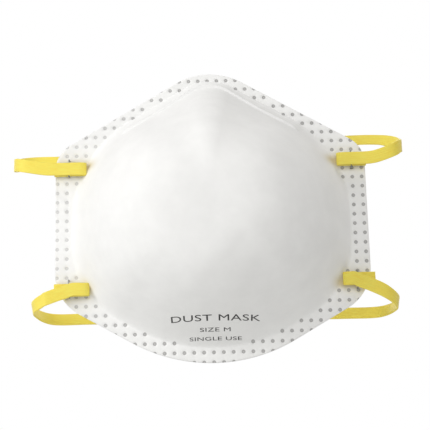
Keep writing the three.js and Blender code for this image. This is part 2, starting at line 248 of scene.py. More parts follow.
def rounded_outline(corners, radii):
    """Each corner is an arc of its radius, tangent to both sides: its centre lies off the tangent point,
    at right angles to the side. The sides between the arcs are straight. Arcs and sides are cut in equal
    steps, so two outlines made this way pair up point by point. Starts at the middle of the nose."""
    names = ["peak", "upper", "lower", "chin", "lower", "upper"]
    arc_steps = [STEPS[n][0] * FINE for n in names]
    side_steps = [STEPS[n][1] * FINE for n in ("peak", "upper", "lower", "chin", "upper", "peak")]
    count = len(corners)
    arcs = []
    for i, name in enumerate(names):
        before = corners[i] - corners[i - 1]
        after = corners[(i + 1) % count] - corners[i]
        before, after = unit(before), unit(after)
        angle = math.acos(before @ after)
        start = corners[i] - before * radii[name] * math.tan(angle / 2)
        inwards = np.array([before[1], -before[0]])
        centre = start + inwards * radii[name]
        turn = np.linspace(0, angle, arc_steps[i] + 1)[:, None]
        arcs.append(centre - inwards * radii[name] * np.cos(turn) + before * radii[name] * np.sin(turn))
    points = []
    for i, arc in enumerate(arcs):
        along = np.linspace(0, 1, side_steps[i] + 1)[1:-1, None]
        points += [arc, arc[-1] + along * (arcs[(i + 1) % count][0] - arc[-1])]
    outline = np.vstack(points)
    return np.roll(outline, -STEPS["peak"][0] * FINE // 2, axis=0)


edge_line = rounded_outline(sharp_corners(0, 0, 0), EDGE_RADII)
foot_line = rounded_outline(sharp_corners(**FLANGE), FOOT_RADII)
closed_foot = np.vstack([foot_line, foot_line[:1]])
FOOT_DISTANCE = distance_along(closed_foot)
FOOT_LENGTH = FOOT_DISTANCE[-1]


def smooth_step(value, start, end):
    """0 before start, 1 after end, and 3t^2 - 2t^3 between them."""
    t = np.clip((value - start) / (end - start), 0, 1)
    return t * t * (3 - 2 * t)


def foot_at(along):
    """The point of the dome's foot at a distance along it, clockwise from the middle of the nose."""
    wrapped = np.mod(along, FOOT_LENGTH)
    x = np.interp(wrapped, FOOT_DISTANCE, closed_foot[:, 0])
    z = np.interp(wrapped, FOOT_DISTANCE, closed_foot[:, 1])
    return x, z


def bare_surface(along, share):
    """The outermost surface in mm: a straight spoke from the foot (share 1) to the apex (share 0), raised
    by depth * (1 - share^fullness)^curve, with both exponents going over to the nose's by the square of
    how far the spoke points up."""
    x, z = foot_at(along)
    up = z - APEX_HEIGHT
    reach = np.hypot(x, up)
    nose = np.clip(up / reach, 0, 1) ** 2
    fullness = 3.7 - 0.9 * nose
    curve = 1.5 + 0.15 * nose
    height = DOME_DEPTH * np.clip(1 - share**fullness, 0, 1) ** curve
    swell = smooth_step((1 - share) * reach, 0, SWELL)
    level = RIM_FRONT + (RIM_FRONT + CAD_RIM_THICKNESS) * -swell
    return np.stack([x * share, level - height, APEX_HEIGHT + up * share], -1)


def surface_normal(along, share):
    """Outward normal: the cross product of the steps along the foot and along the spoke."""
    step, turn = 0.002, 0.5
    low = np.clip(share - step, 0.004, 1)
    high = np.clip(share + step, 0.008, 1)
    spoke = bare_surface(along, high) - bare_surface(along, low)
    around = bare_surface(along + turn, share) - bare_surface(along - turn, share)
    normal = unit(np.cross(spoke, around))
    normal[normal[..., 1] > 0] *= -1
    flat = smooth_step(share, 0.995, 1)[..., None]
    return unit(normal * (1 - flat) + np.array([0, -1.0, 0]) * flat)


def crease(x, z, start, end, width, depth):
    """A soft groove: depth * exp(-(distance to the line / width)^2)."""
    start, run = np.array(start, float), np.array(end, float) - np.array(start, float)
    along = np.clip(((x - start[0]) * run[0] + (z - start[1]) * run[1]) / (run @ run), 0, 1)
    distance = np.hypot(x - start[0] - along * run[0], z - start[1] - along * run[1])
    return depth * np.exp(-((distance / width) ** 2))


# where the cup was handled and packed: (start, end, width, depth) in mm, seen from the front
CREASES = [
    ((-17, 29), (-10, 17), 3.0, 0.09),
    ((-13, 33), (-15, 20), 1.8, -0.05),
    ((-56, 4), (-46, 2.5), 1.1, 0.20),
    ((-55, -1), (-47, -2.5), 1.0, 0.18),
    ((-50, -24), (-30, -18), 4.0, 0.22),
    ((13, -20), (-2, -34), 3.2, 0.20),
    ((-34, -14), (30, -17), 6.0, 0.20),
    ((30, 10), (40, -12), 5.0, 0.16),
    ((-6, 40), (3, 30), 5.0, 0.05),
    ((44, -14), (54, -18), 1.6, 0.14),
]
DENTS_FADE_IN = (0.5, 5.0)  # from the foot: the stiff weld stays flat


def handling_dents(x, z):
    """The sum of the creases and a long soft waviness of the pressed felt."""
    waves = 0.06 * np.sin(x / 9.0 + 1.0) * np.sin(z / 11.0 + 0.4) + 0.03 * np.sin(x / 4.3 - z / 6.1)
    return sum(crease(x, z, *c) for c in CREASES) + waves


# the covered nose clip lifts the cover: a flat band with a small lip along its lower edge
CLIP_HALF, CLIP_TOP, CLIP_RAISE, CLIP_LIP = 45.0, 1.2, 0.65, 0.22


def clip_edge(along):
    """The inset of the clip's lower edge, which lies closer to the foot in the middle of the nose."""
    return 3.3 + 1.5 * smooth_step(np.minimum(along, FOOT_LENGTH - along), 0, 30)


def clip_lift(along, inset):
    """How far the cover stands up over the nose clip: a step up after the foot, a lip like
    exp(-(distance / width)^2) at the clip's lower edge, a step down past it, and both ends faded."""
    distance = np.minimum(along, FOOT_LENGTH - along)
    ends = 1 - smooth_step(distance, CLIP_HALF - 0.2, CLIP_HALF + 0.8)
    lower = clip_edge(along)
    band = smooth_step(inset, 0, CLIP_TOP) * (1 - smooth_step(inset, lower, lower + 0.5))
    lip = np.exp(-(((inset - lower + 0.05) / 0.34) ** 2))
    return ends * (CLIP_RAISE * band + CLIP_LIP * lip)


def cup_point(along, share, depth, lift=0.0):
    """A point of the pressed cup, depth being 0 at its front and 1 at its back: the outer surface minus
    its normal times the depth, the handling dents and the lift."""
    point = bare_surface(along, share)
    x, z = foot_at(along)
    inset = (1 - share) * np.hypot(x, z - APEX_HEIGHT)
    thickness = RIM_THICKNESS + (CUP_THICKNESS - RIM_THICKNESS) * smooth_step(inset, 0, SWELL)
    dents = handling_dents(point[..., 0], point[..., 2]) * smooth_step(inset, *DENTS_FADE_IN)
    inwards = (depth * thickness + dents - lift)[..., None]
    return point - surface_normal(along, share) * inwards


# ---- weld dots of the rim ----
# Hot pins press the four layers together on a square grid. Each pin leaves a small ring-shaped dent whose
# fibres have melted to a grey, slightly shiny film. The grid runs off the rim's edge, so some are cut.

WELD_PITCH = 4.0
WELD_ORIGIN = (-0.35, -57.4)
WELD_RADIUS = 0.60
WELD_WIDTH = 0.32
WELD_DENT = 0.22


def distance_to_line(points, line):
    """The signed distance from each point to a closed outline, positive inside it: the least distance to
    any of its segments, with the sign from the winding of the outline round the point."""
    start, run = line, np.roll(line, -1, axis=0) - line
    offset = points[:, None] - start[None]
    along = np.clip((offset * run).sum(-1) / (run * run).sum(-1), 0, 1)
    least = np.linalg.norm(offset - along[..., None] * run, axis=-1).min(1)
    ahead = offset - run[None]
    cross = offset[..., 0] * ahead[..., 1] - offset[..., 1] * ahead[..., 0]
    winding = np.arctan2(cross, (offset * ahead).sum(-1)).sum(1)
    return np.where(np.abs(winding) > np.pi, least, -least)


def weld_grid():
    """Which pins of the square grid land on the rim: inside its edge, or just over it, and clear of the
    dome's foot. Returns the table and the index of its first pin."""
    reach = int(RIM_WIDTH / 2 / WELD_PITCH) + 2
    index = np.arange(-reach, reach + 1)
    column, row = np.meshgrid(index, index, indexing="ij")
    first_row = WELD_ORIGIN[1] % WELD_PITCH
    pins = np.stack([WELD_ORIGIN[0] + column * WELD_PITCH, first_row + row * WELD_PITCH], -1)
    flat = pins.reshape(-1, 2)
    on_rim = distance_to_line(flat, edge_line[::FINE]) > -0.5
    off_dome = distance_to_line(flat, foot_line[::FINE]) < 0.4
    return (on_rim & off_dome).reshape(column.shape), -reach


PINS, FIRST_PIN = weld_grid()


def weld_lookup(x, z):
    """The distance to the nearest pin, and 1 where that pin exists."""
    first_row = WELD_ORIGIN[1] % WELD_PITCH
    column = np.round((x - WELD_ORIGIN[0]) / WELD_PITCH).astype(int)
    row = np.round((z - first_row) / WELD_PITCH).astype(int)
    away = np.hypot(x - WELD_ORIGIN[0] - column * WELD_PITCH, z - first_row - row * WELD_PITCH)
    last = PINS.shape[0] - 1
    exists = PINS[np.clip(column - FIRST_PIN, 0, last), np.clip(row - FIRST_PIN, 0, last)]
    return away, exists.astype(float)


def weld_dent(x, z):
    """Depth of the ring-shaped dents: exp(-((distance - radius) / width)^2) round each pin, over a
    shallow bowl exp(-(distance / 1.1)^2)."""
    away, exists = weld_lookup(x, z)
    ring = np.exp(-(((away - WELD_RADIUS) / WELD_WIDTH) ** 2))
    return exists * (WELD_DENT * ring + 0.12 * np.exp(-((away / 1.1) ** 2)))


def weld_glare_fade(x, z):
    """How strongly the dots' grey film shows, 0 to 1: fully, but only half along the upper left, a painted
    highlight where the key light from the left glares on the dots. One smooth step in x times one in z."""
    return 1 - 0.5 * smooth_step(-x, 5, 50) * smooth_step(z, -55, -25)


# ---- the four layers ----
# Needle-felt cover, melt-blown filter, stiff moulded felt shell and soft spunbond lining. They are laid
# in the press as flat sheets, moulded together, welded round the rim and die-cut.

RIM_ROWS = 24
FOOT_ROWS = 27
FOOT_ZONE = 7.0
DOME_ROWS = 44
EDGE_ROUNDING = 0.28


def side_rings(front, depth, squeeze, lifted, fine):
    """One face of a layer as rings from the rim's edge to near the apex. On the rim: straight lines from
    the edge to the foot at level y, pressed in by the weld dents. On the dome: cup_point at that depth.
    front is -1 for a face that looks forward and 1 for one that looks back."""
    step = 1 if fine else FINE
    edge, foot = edge_line[::step], foot_line[::step]
    level = RIM_FRONT + depth * RIM_THICKNESS
    across = np.linspace(0, 1, RIM_ROWS if fine else 5)
    rings = []
    for share in across:
        flat = edge + (foot - edge) * share
        away = np.linalg.norm(flat - edge, axis=1)
        rounding = EDGE_ROUNDING * np.exp(-away / EDGE_ROUNDING) if fine else 0.0
        pressed = weld_dent(flat[:, 0], flat[:, 1]) * squeeze + rounding
        rings.append(np.stack([flat[:, 0], level - front * pressed, flat[:, 1]], 1))
    along = FOOT_DISTANCE[:-1][::FINE]
    x, z = foot_at(along)
    reach = np.hypot(x, z - APEX_HEIGHT)
    insets = np.linspace(0, FOOT_ZONE, FOOT_ROWS + 1)[1:]
    shares = [1 - inset / reach for inset in insets]
    shares += [shares[-1] * (1 - t) for t in np.linspace(0, 1, DOME_ROWS + 2)[1:-1]]
    for share in shares:
        lift = clip_lift(along, (1 - share) * reach) if lifted else 0.0
        rings.append(cup_point(along, share, depth, lift))
    return rings


def ring_faces(first, first_start, second, second_start):
    """Faces between two rings. Equal rings give quads. A ring FINE times as fine as its neighbour gives
    polygons that take FINE of its edges and one of the neighbour's."""
    count = min(first, second)
    i = np.arange(count)
    ratio_first, ratio_second = first // count, second // count
    near = [first_start + (i * ratio_first + k) % first for k in range(ratio_first + 1)]
    far = [second_start + (i * ratio_second + k) % second for k in range(ratio_second, -1, -1)]
    return np.stack(near + far, 1).tolist()


def closed_rings(rings, first_cap, last_cap):
    """A closed body from rings, with a fan of triangles to one point at either end."""
    sizes = [len(r) for r in rings]
    starts = np.concatenate([[0], np.cumsum(sizes)]).astype(int)
    points = np.vstack(rings + [first_cap[None], last_cap[None]])
    faces = []
    for k in range(len(rings) - 1):
        faces += ring_faces(sizes[k], starts[k], sizes[k + 1], starts[k + 1])
    for cap, size, start in ((starts[-1], sizes[0], 0), (starts[-1] + 1, sizes[-1], starts[-2])):
        i = np.arange(size)
        fan = np.stack([np.full(size, cap), start + i, start + (i + 1) % size], 1)
        faces += fan.tolist()
    return points, faces


def new_piece(name, points, faces, material, body="root", attributes=None, uv=None):
    """Makes a piece from points in mm, turns its faces outwards, smooths it and gives it its finish.
    attributes holds one number for each point; uv holds two."""
    mesh = bpy.data.meshes.new(name)
    mesh.from_pydata((np.asarray(points) * MM).tolist(), [], faces)
    for label, values in (attributes or {}).items():
        layer = mesh.attributes.new(label, "FLOAT", "POINT")
        layer.data.foreach_set("value", np.asarray(values, np.float32))
    if uv is not None:
        corner = np.zeros(len(mesh.loops), np.int32)
        mesh.loops.foreach_get("vertex_index", corner)
        layer = mesh.uv_layers.new(name="cloth")
        layer.data.foreach_set("uv", np.asarray(uv, np.float32)[corner].ravel())
    shaped = bmesh.new()
    shaped.from_mesh(mesh)
    bmesh.ops.recalc_face_normals(shaped, faces=shaped.faces)
    shaped.to_mesh(mesh)
    shaped.free()
    mesh.polygons.foreach_set("use_smooth", np.ones(len(mesh.polygons), bool))
    mesh.materials.append(material)
    piece = bpy.data.objects.new(name, mesh)
    bpy.context.collection.objects.link(piece)
    if body:
        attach(piece, body)
    return piece


# painted shadow with yellow bounce light beside each folded strap end: how far past the end it starts, and
# its size in mm
SHADOW_PAST = 1.6
SHADOW_LENGTH = 3.2
SHADOW_WIDTH = 2.3


def painted_fold_shadow(x, z):
    """Painted shadow, tinted with painted yellow light bounced off the elastic, 0 to 1: a soft bump just
    inside each of the four folded strap ends, exp(-(distance / size)^2) along and across the strap."""
    fold_shadow = np.zeros(len(x))
    for level in ("upper", "lower"):
        for side, name in ((-1, "left"), (1, "right")):
            low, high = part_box(f"{level}_strap_end_{name}")
            inner = (high.x if side < 0 else low.x) / MM
            middle = (low.z + high.z) / 2 / MM
            past = np.maximum(side * (inner - x) - SHADOW_PAST, 0)
            fold_shadow += np.exp(-((past / SHADOW_LENGTH) ** 2) - ((z - middle) / SHADOW_WIDTH) ** 2)
    return np.clip(fold_shadow, 0, 1)


def build_layer(name, node, depths, material, lifted=False, fine_front=False, fine_back=False):
    """One layer: its front face from the apex out to the rim's edge, then its back face inwards again."""
    front = side_rings(-1, depths[0], 1.0 if fine_front else 0.0, lifted, fine_front)
    back = side_rings(1, depths[1], 0.5 if fine_back else 0.0, lifted, fine_back)
    peak = bare_surface(np.zeros(1), np.zeros(1))[0, 1]
    apex = [np.array([0, peak + depth * CUP_THICKNESS, APEX_HEIGHT]) for depth in depths]
    points, faces = closed_rings(front[::-1] + back, apex[0], apex[1])
    # where the weld dots are, made paler on the upper left by a painted highlight
    weld_and_glare = weld_lookup(points[:, 0], points[:, 2])[1] * weld_glare_fade(points[:, 0], points[:, 2])
    # the painted shadow beside the strap folds, on the cover's front only
    fold_shadow = painted_fold_shadow(points[:, 0], points[:, 2]) * (1.0 if fine_front else 0.0)
    piece = new_piece(
        name, points, faces, material, attributes={"weld_and_glare": weld_and_glare, "fold_shadow": fold_shadow}
    )
    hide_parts(node)
    return piece


CLOUD_MM = 9.09


def felt_material(name, hex_code, shade_hex, weld_hex, fibre_mm, bump, sheen):
    """A pressed nonwoven of fine polyester or polypropylene fibres. It is matt and white with a faint
    cloudiness where the web is thicker or thinner, has loose fibres lying in all directions, and turns to
    a grey film in the ring-shaped welds."""
    material, tree = new_material(name)
    place = add_node(tree, "ShaderNodeTexCoord").outputs["Object"]
    # thick and thin places of the web, about 9 mm across
    cloud = add_node(
        tree, "ShaderNodeTexNoise", {"Vector": place}, Scale=1 / (CLOUD_MM * MM), Detail=3.0, Roughness=0.6
    )
    # fibres: noise stretched along three directions, drawn about three times as coarse as real ones
    strands = []
    for angle in (0.3, 1.4, 2.5):
        turned = add_node(
            tree,
            "ShaderNodeMapping",
            {"Vector": place},
            Rotation=(0, angle, 0),
            Scale=(1 / (fibre_mm * MM), 1 / (fibre_mm * MM), 0.12 / (fibre_mm * MM)),
        )
        strand = add_node(
            tree, "ShaderNodeTexNoise", {"Vector": turned.outputs[0]}, Scale=1.0, Detail=2.0, Roughness=0.5
        )
        strands.append(strand.outputs["Fac"])
    web = add_node(tree, "ShaderNodeMath", {0: strands[0], 1: strands[1]}, operation="MAXIMUM")
    web = add_node(tree, "ShaderNodeMath", {0: web.outputs[0], 1: strands[2]}, operation="MAXIMUM")
    # the weld's ring, from the distance to the nearest pin of the square grid
    split = add_node(tree, "ShaderNodeSeparateXYZ", {0: place})
    away = []
    for axis, origin in (("X", WELD_ORIGIN[0]), ("Z", WELD_ORIGIN[1] % WELD_PITCH)):
        shifted = add_node(
            tree, "ShaderNodeMath", {0: split.outputs[axis]}, operation="ADD"
        )
        shifted.inputs[1].default_value = (WELD_PITCH / 2 - origin) * MM
        wrapped = add_node(tree, "ShaderNodeMath", {0: shifted.outputs[0]}, operation="FLOORED_MODULO")
        wrapped.inputs[1].default_value = WELD_PITCH * MM
        centred = add_node(tree, "ShaderNodeMath", {0: wrapped.outputs[0]}, operation="SUBTRACT")
        centred.inputs[1].default_value = WELD_PITCH / 2 * MM
        away.append(centred.outputs[0])
    flat = add_node(tree, "ShaderNodeCombineXYZ", {"X": away[0], "Y": away[1]})
    radius = add_node(tree, "ShaderNodeVectorMath", {0: flat.outputs[0]}, operation="LENGTH")
    profile = add_node(
        tree, "ShaderNodeMapRange", {"Value": radius.outputs["Value"]}, From_Min=0.0, From_Max=1.2 * MM
    )
    ramp = add_node(tree, "ShaderNodeValToRGB", {"Fac": profile.outputs[0]})
    stops = [(0.0, 0.70), (0.16, 0.78), (0.34, 1.0), (0.55, 0.9), (0.76, 0.0)]
    for position, value in stops[1:-1]:
        ramp.color_ramp.elements.new(position)
    for element, (position, value) in zip(ramp.color_ramp.elements, stops):
        element.position = position
        element.color = (value, value, value, 1)
    # the weld dots, with a painted highlight that pales them along the upper left
    weld_and_glare = add_node(tree, "ShaderNodeAttribute", attribute_name="weld_and_glare")
    film = add_node(
        tree, "ShaderNodeMath", {0: ramp.outputs[0], 1: weld_and_glare.outputs["Fac"]}, operation="MULTIPLY"
    )
    shade = add_node(
        tree, "ShaderNodeMapRange", {"Value": cloud.outputs["Fac"]}, From_Min=0.3, From_Max=0.7
    )
    base = add_node(
        tree, "ShaderNodeMix", {"Factor": shade.outputs[0]}, data_type="RGBA"
    )
    base.inputs[6].default_value = linear(hex_code)
    base.inputs[7].default_value = linear(shade_hex)
    # painted shadow with painted yellow bounce light, beside the strap's folded ends on the cover
    fold_shadow = add_node(tree, "ShaderNodeAttribute", attribute_name="fold_shadow")
    fold_shadowed = add_node(
        tree, "ShaderNodeMix", {"Factor": fold_shadow.outputs["Fac"], 6: base.outputs[2]}, data_type="RGBA"
    )
    # the colour of the painted shadow and its yellow bounce light
    fold_shadowed.inputs[7].default_value = linear("#D8CBA6")
    worn = add_node(
        tree, "ShaderNodeMix", {"Factor": film.outputs[0], 6: fold_shadowed.outputs[2]}, data_type="RGBA"
    )
    worn.inputs[7].default_value = linear(weld_hex)
    fluff = add_node(
        tree, "ShaderNodeBump", {"Height": web.outputs[0]}, Strength=bump, Distance=0.12 * MM
    )
    uneven = add_node(
        tree,
        "ShaderNodeBump",
        {"Height": cloud.outputs["Fac"], "Normal": fluff.outputs[0]},
        Strength=bump * 0.8,
        Distance=0.5 * MM,
    )
    shine = add_node(
        tree, "ShaderNodeMapRange", {"Value": film.outputs[0]}, To_Min=0.92, To_Max=0.5
    )
    shader = add_node(
        tree,
        "ShaderNodeBsdfPrincipled",
        {"Base Color": worn.outputs[2], "Roughness": shine.outputs[0], "Normal": uneven.outputs[0]},
        Sheen_Weight=sheen,
        Sheen_Roughness=0.5,
        Specular_IOR_Level=0.25,
    )
    finish_material(tree, shader)
    return material


cover_felt = felt_material("white_polyester_needle_felt", "#F7F7F6", "#F2F2F1", "#AEADAC", 0.22, 0.35, 0.15)
filter_web = felt_material("meltblown_polypropylene_web", "#FAFAF9", "#F3F3F1", "#B0B0AE", 0.15, 0.20, 0.1)
shell_felt = felt_material("moulded_polyester_shell_felt", "#EFEEEC", "#E8E7E4", "#A5A4A0", 0.30, 0.45, 0.1)
lining_web = felt_material("spunbond_polypropylene_lining", "#F7F7F6", "#F0F0EE", "#A8A8A6", 0.26, 0.40, 0.1)

build_layer("cover", "outer_cover", (0.0, 0.235), cover_felt, lifted=True, fine_front=True)
build_layer("filter", "filter_layer", (0.245, 0.445), filter_web)
build_layer("shell", "support_shell", (0.455, 0.795), shell_felt)
build_layer("lining", "inner_lining", (0.805, 1.0), lining_web, fine_back=True)

# ---- nose clip and nose foam ----
# The clip is a soft aluminium strip laid between the cover and the filter before welding. The foam is a
# die-cut strip of open-cell polyurethane glued to the lining behind it.


def rounded_profile(half_width, half_height, radius, steps):
    """A rectangle with round corners as a closed loop: four quarter circles, joined by straight sides."""
    turn = np.linspace(0, np.pi / 2, steps)
    loops = []
    for sign_x, sign_y, start in ((1, 1, 0), (-1, 1, 1), (-1, -1, 2), (1, -1, 3)):
        angle = turn + start * np.pi / 2
        loops.append(
            np.stack(
                [
                    sign_x * (half_width - radius) + radius * np.cos(angle),
                    sign_y * (half_height - radius) + radius * np.sin(angle),
                ],
                1,
            )
        )
    return np.vstack(loops)


def swept_body(sections):
    """A closed body from cross-sections of shape (sections, points, 3), with one polygon at either end."""
    count, around = sections.shape[:2]
    i, j = np.meshgrid(np.arange(count - 1), np.arange(around), indexing="ij")
    after = (j + 1) % around
    quads = np.stack([i * around + j, (i + 1) * around + j, (i + 1) * around + after, i * around + after], -1)
    faces = quads.reshape(-1, 4).tolist()
    faces += [list(range(around)), [(count - 1) * around + k for k in range(around)][::-1]]
    return sections.reshape(-1, 3), faces


def nose_strip(half_length, middle, width, depth_mm, thickness, radius):
    """A strip over the nose: for each place along the foot, a rounded profile in (inset, depth), laid on
    the cup at right angles to its surface. middle gives the inset of its middle line. The profile shrinks
    over the strip's rounded ends like a quarter circle."""
    profile = rounded_profile(width / 2, thickness / 2, radius, 6)
    along = np.linspace(-half_length, half_length, 160)
    into_end = np.clip(np.abs(along) - half_length + radius, 0, radius) / radius
    ends = np.sqrt(np.clip(1 - into_end**2, 0.02, 1))
    sections = []
    for place, shrink in zip(along, ends):
        s = np.full(len(profile), place)
        x, z = foot_at(s)
        reach = np.hypot(x, z - APEX_HEIGHT)
        narrow = 1 - (1 - shrink) * radius / (width / 2)
        thin = 1 - (1 - shrink) * 2 * radius / thickness
        share = 1 - (middle(abs(place)) + profile[:, 0] * narrow) / reach
        below = depth_mm + profile[:, 1] * thin
        sections.append(bare_surface(s, share) - surface_normal(s, share) * below[:, None])
    return swept_body(np.array(sections))


def aluminium_material():
    """Soft rolled aluminium strip: bright, with fine rolling lines along it."""
    material, tree = new_material("rolled_aluminium_strip")
    place = add_node(tree, "ShaderNodeTexCoord").outputs["Object"]
    along, across = 1 / (3.33 * MM), 1 / (0.1667 * MM)  # length and width of a rolling line
    stretched = add_node(tree, "ShaderNodeMapping", {"Vector": place}, Scale=(along, across, across))
    lines = add_node(tree, "ShaderNodeTexNoise", {"Vector": stretched.outputs[0]}, Scale=1.0, Detail=3.0)
    rough = add_node(tree, "ShaderNodeMapRange", {"Value": lines.outputs["Fac"]}, To_Min=0.28, To_Max=0.45)
    shader = add_node(
        tree,
        "ShaderNodeBsdfPrincipled",
        {"Roughness": rough.outputs[0]},
        Base_Color=linear("#DCDEDF"),
        Metallic=1.0,
    )
    finish_material(tree, shader)
    return material


def foam_material():
    """Open-cell polyurethane foam: matt grey, with cells about 0.6 mm across, and painted shade darkening the
    pores.
    """
    material, tree = new_material("open_cell_polyurethane_foam")
    place = add_node(tree, "ShaderNodeTexCoord").outputs["Object"]
    cells = add_node(tree, "ShaderNodeTexVoronoi", {"Vector": place}, Scale=1 / (0.6 * MM))
    # darker towards each cell's middle, where the pore is dented: painted shade in the hollows
    tone = add_node(tree, "ShaderNodeValToRGB", {"Fac": cells.outputs["Distance"]})
    tone.color_ramp.elements[0].color = linear("#7C7F83")
    tone.color_ramp.elements[0].position = 0.1
    tone.color_ramp.elements[1].color = linear("#B4B7BA")
    tone.color_ramp.elements[1].position = 0.6
    pores = add_node(
        tree, "ShaderNodeBump", {"Height": cells.outputs["Distance"]}, Strength=0.8, Distance=0.25 * MM
    )
    shader = add_node(
        tree,
        "ShaderNodeBsdfPrincipled",
        {"Base Color": tone.outputs[0], "Normal": pores.outputs[0]},
        Roughness=0.95,
        Sheen_Weight=0.2,
    )
    finish_material(tree, shader)
    return material


clip_points, clip_faces = nose_strip(CLIP_HALF - 0.6, lambda s: clip_edge(s) - 1.7, 3.0, 0.40, 0.4, 0.15)
clip = new_piece("nose_clip_strip", clip_points, clip_faces, aluminium_material())
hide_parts("nose_clip")

foam_points, foam_faces = nose_strip(38, lambda s: 9.0, 9, CUP_THICKNESS + 2.1, 3.9, 1.2)
foam = new_piece("nose_foam_strip", foam_points, foam_faces, foam_material())
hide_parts("nose_foam")

# ---- straps ----
# Flat knitted elastic, 5.4 mm wide and under 1 mm thick, with covered rubber threads running along it. The
# end lies on the rim, folds back over itself at its inner end and covers its own staple.

STRAP_WIDTH = 5.4
STRAP_THICKNESS = 0.9
STRAP_BEHIND = 18.0
STAPLE_INSET = 6.0
STAPLE_X = RIM_WIDTH / 2 - STAPLE_INSET
TAIL_LEVEL, RETURN_LEVEL = 1.25, 3.25  # out from the rim's front
STAND_OFF = 0.055
LOOP_LEAN = 26
TURN_HALF_WIDTH = 9.0
KNIT_ROW = 0.045  # centimetres, as in the cloth map; each real row is finer
SIDES = {-1: "left", 1: "right"}
# every pair is (left, right), in mm: how far out the strap turns, how far its middle line has risen at the
# turn and behind the mask, how far the fold lies inside the staple, the cut end past the rim's edge, and
# how far up the strap was laid on the rim
STRAPS = {
    "upper": {
        "reach": (83.7, 82.2), "turn": (3.1, 7.8), "back": (8.5, 14.7), "fold": (5.7, 4.6),
        "past": (0.2, 0.2), "laid": (-1.5, 0.0), "bend_from": 1.0, "power": 3.0,
        "lean_from": 5.0,
    },
    "lower": {
        "reach": (75.2, 76.7), "turn": (-7.6, -8.8), "back": (-10.6, -11.0), "fold": (7.0, 4.4),
        "past": (0.1, 1.4), "laid": (-1.2, 0.6), "bend_from": -3.5, "power": 1.35,
        "lean_from": -5.0,
    },
}
for level, facts in STRAPS.items():
    low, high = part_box(f"{level}_staple_left")
    facts["height"] = (low.z + high.z) / 2 / MM


def blend_between(first, second, at, start, end):
    """first at start, second at end, and a straight line between them."""
    return (end - at) / (end - start) * first + (at - start) / (end - start) * second


def smooth_path(points, spacing):
    """A centripetal Catmull-Rom curve through the points, cut at equal distances: between two knots, three
    straight blends of neighbouring points are blended twice more."""
    points = np.array(points, float)
    knots = np.concatenate([[0], np.cumsum(np.linalg.norm(np.diff(points, axis=0), axis=1) ** 0.5)])
    padded = np.vstack([2 * points[0] - points[1], points, 2 * points[-1] - points[-2]])
    times = np.concatenate([[2 * knots[0] - knots[1]], knots, [2 * knots[-1] - knots[-2]]])
    pieces = []
    for k in range(1, len(padded) - 2):
        p, t = padded[k - 1 : k + 3], times[k - 1 : k + 3]
        u = np.linspace(t[1], t[2], 24, endpoint=False)[:, None]
        a = [blend_between(p[i], p[i + 1], u, t[i], t[i + 1]) for i in range(3)]
        b = [blend_between(a[i], a[i + 1], u, t[i], t[i + 2]) for i in range(2)]
        pieces.append(blend_between(b[0], b[1], u, t[1], t[2]))
    dense = np.vstack(pieces + [points[-1:]])
    length = distance_along(dense)
    places = np.linspace(0, length[-1], int(length[-1] / spacing) + 1)
    return np.stack([np.interp(places, length, dense[:, k]) for k in range(3)], 1)


def strap_side_route(facts, side):
    """The strap's middle line on one side, from its cut end to the start of the back run. The returned
    layer leaves the fold level and bends up or down with the square of the way out; the turn is half an
    ellipse, seen from above, that goes on rising or falling."""
    which = 0 if side < 0 else 1
    front, height = -CAD_RIM_THICKNESS, facts["height"]
    reach, turn, back = facts["reach"][which], facts["turn"][which], facts["back"][which]
    start_y = front - RETURN_LEVEL
    middle_y, half_depth = (STRAP_BEHIND + start_y) / 2, (STRAP_BEHIND - start_y) / 2
    bend_from = STAPLE_X + facts["bend_from"]
    laid, fold = facts["laid"][which], facts["fold"][which]

    def spot(out, level):
        return (side * (STAPLE_X + out), front - level, height + laid)

    def near(x, y):
        share = max(0, (x - bend_from) / (reach - bend_from))
        return (side * x, y, height + laid + (turn - laid) * share ** facts["power"])

    route = [
        spot(STAPLE_INSET + facts["past"][which], TAIL_LEVEL - STAND_OFF * 6.5),
        spot(3.5, TAIL_LEVEL - STAND_OFF * 3.5),
        spot(0.0, TAIL_LEVEL),
        spot(-3.2, TAIL_LEVEL + 0.15),
        spot(-fold, TAIL_LEVEL + 0.2),
        spot(-fold - 1.3, TAIL_LEVEL + 0.85),
        spot(-fold - 0.4, RETURN_LEVEL - 0.3),
        spot(-fold + 1.2, RETURN_LEVEL + 0.1),
        spot(-1.5, RETURN_LEVEL + 0.1),
    ]
    for x in (STAPLE_X + 1.0, STAPLE_X + 5.0, STAPLE_X + 9.6):
        route.append(near(x, start_y))
    for angle in (-65, -40, -15):
        turned = math.radians(angle)
        x = reach - TURN_HALF_WIDTH * (1 - math.cos(turned))
        route.append(near(x, middle_y + half_depth * math.sin(turned)))
    for angle in (15, 40, 65, 90):
        turned = math.radians(angle)
        x = reach - TURN_HALF_WIDTH * (1 - math.cos(turned))
        rise = turn + (back - turn) * math.sin(turned)
        route.append((side * x, middle_y + half_depth * math.sin(turned), height + rise))
    route.append((side * (reach - TURN_HALF_WIDTH - 12), STRAP_BEHIND, height + back))
    return route


def strap_profile():
    """Cross-section of the elastic: a rounded rectangle whose two faces are ribbed like
    0.025 * cos(2 pi across / rib), one rib for each covered rubber thread."""
    loop = rounded_profile(STRAP_WIDTH / 2, STRAP_THICKNESS / 2, 0.3, 5)
    dense = []
    for start, end in zip(loop, np.roll(loop, -1, axis=0)):
        count = max(1, int(np.linalg.norm(end - start) / 0.16))
        dense.append(start + np.linspace(0, 1, count, endpoint=False)[:, None] * (end - start))
    loop = np.vstack(dense)
    rib = 0.9
    inside = smooth_step(STRAP_WIDTH / 2 - np.abs(loop[:, 0]), 0.1, 0.5)
    loop[:, 1] += np.sign(loop[:, 1]) * 0.025 * np.cos(2 * np.pi * loop[:, 0] / rib) * inside
    return loop


